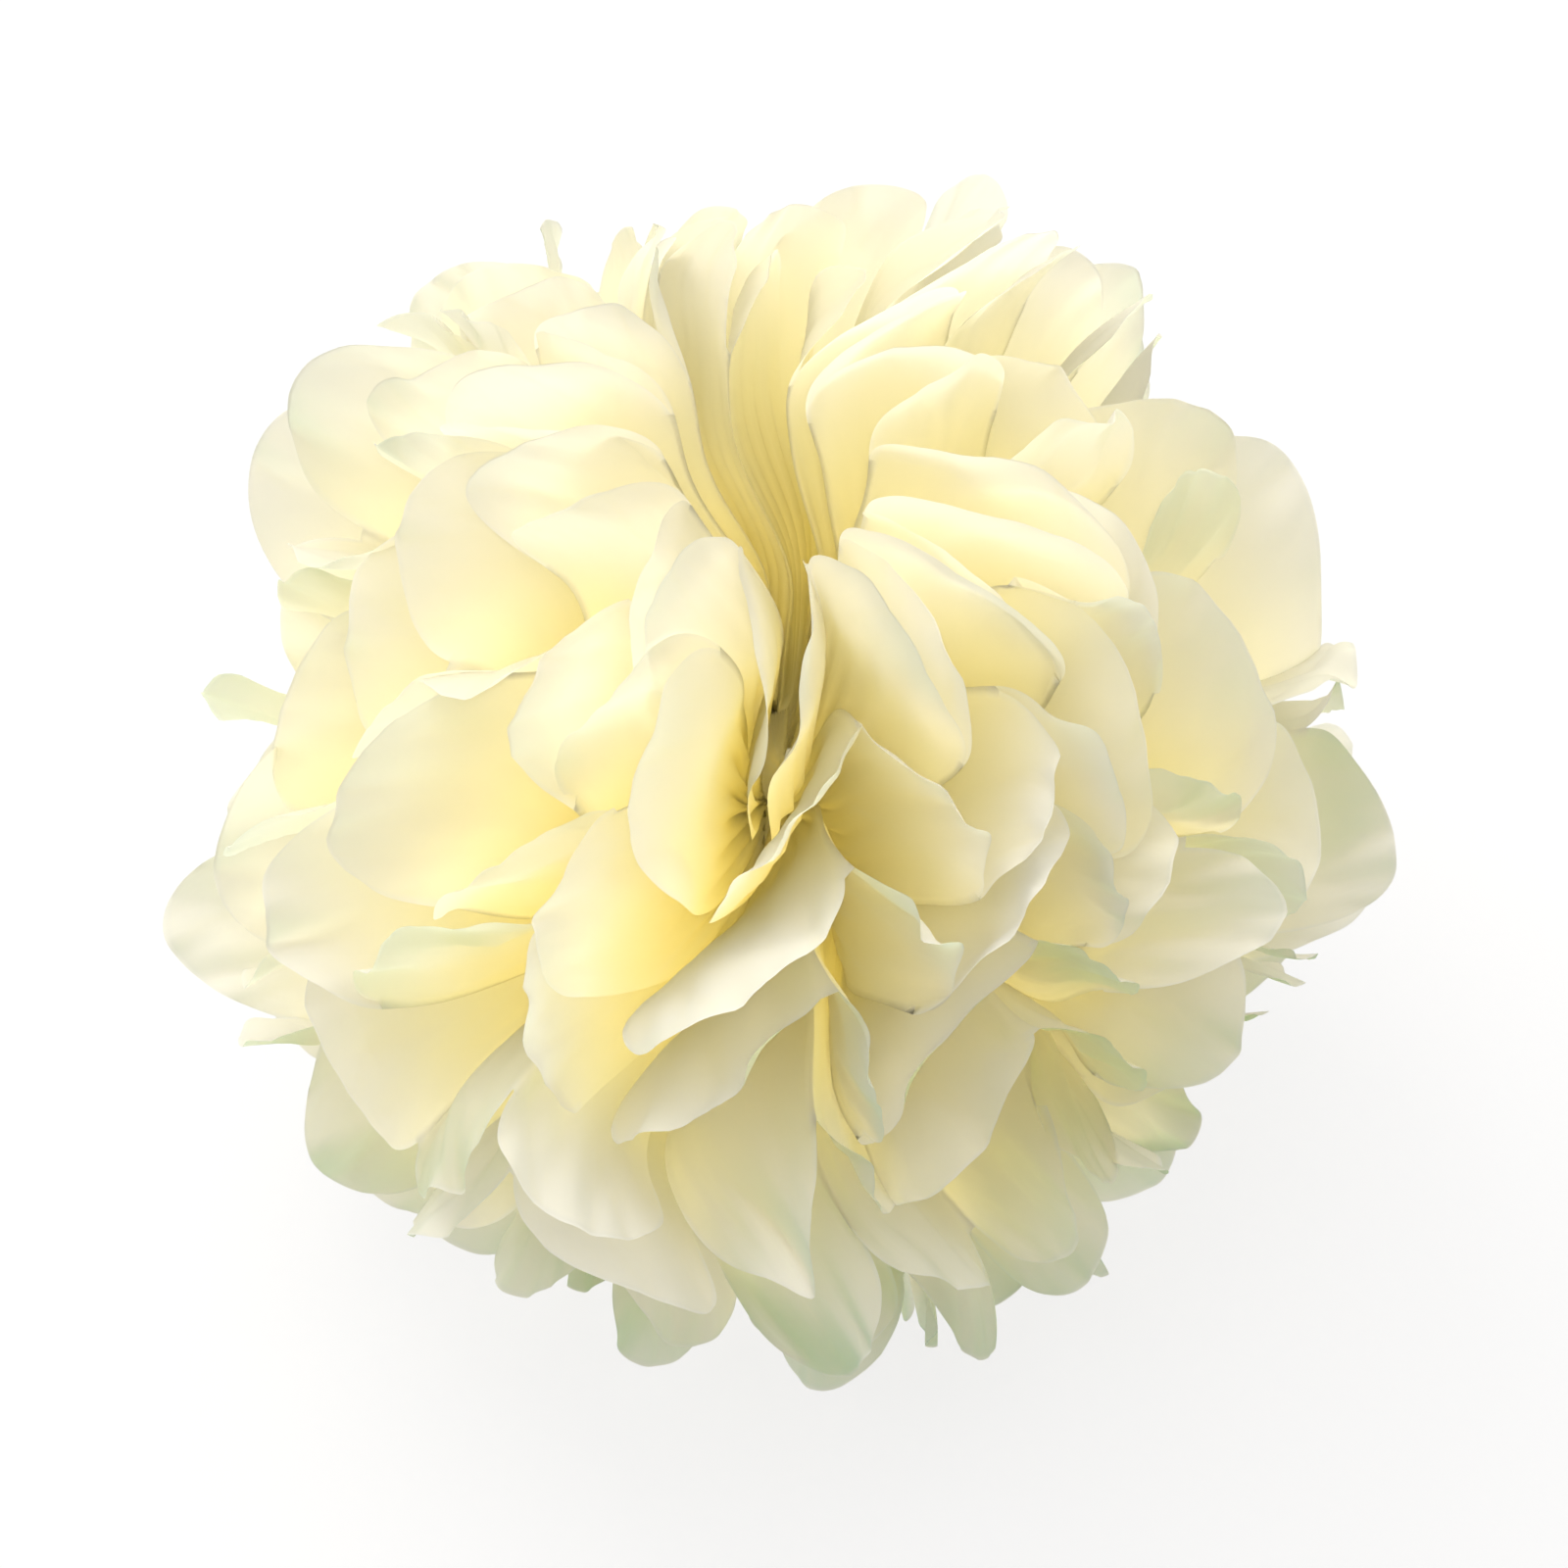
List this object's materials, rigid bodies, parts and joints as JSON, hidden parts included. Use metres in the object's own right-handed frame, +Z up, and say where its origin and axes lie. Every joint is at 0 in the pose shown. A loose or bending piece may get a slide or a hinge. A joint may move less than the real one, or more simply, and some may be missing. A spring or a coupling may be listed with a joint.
{
  "type": "tissue paper pom pom",
  "caption": "Round fluffy ball of pleated cream tissue sheets with rounded petal ends, tied at the middle by a thin wire and fanned open, for hanging or table decoration.",
  "frame": {"origin": "centre of the model's box in plan, on the table that the lowest petals rest on", "axes": "+Z up along the axis the sheets are fanned round, +X along the unfolded pleats, with the slits between the two fans towards +Y and -Y"},
  "size_m": [0.2032, 0.2012, 0.179],
  "materials": {
    "tissue": "matt translucent tissue",
    "wire": "thin white coated wire"
  },
  "bodies": {
    "root": {"sheet_01": "tissue", "sheet_02": "tissue", "sheet_03": "tissue", "sheet_04": "tissue", "sheet_05": "tissue", "sheet_06": "tissue", "sheet_07": "tissue", "sheet_08": "tissue", "sheet_09": "tissue", "sheet_10": "tissue", "tie_wire": "wire"}
  },
  "joints": []
}
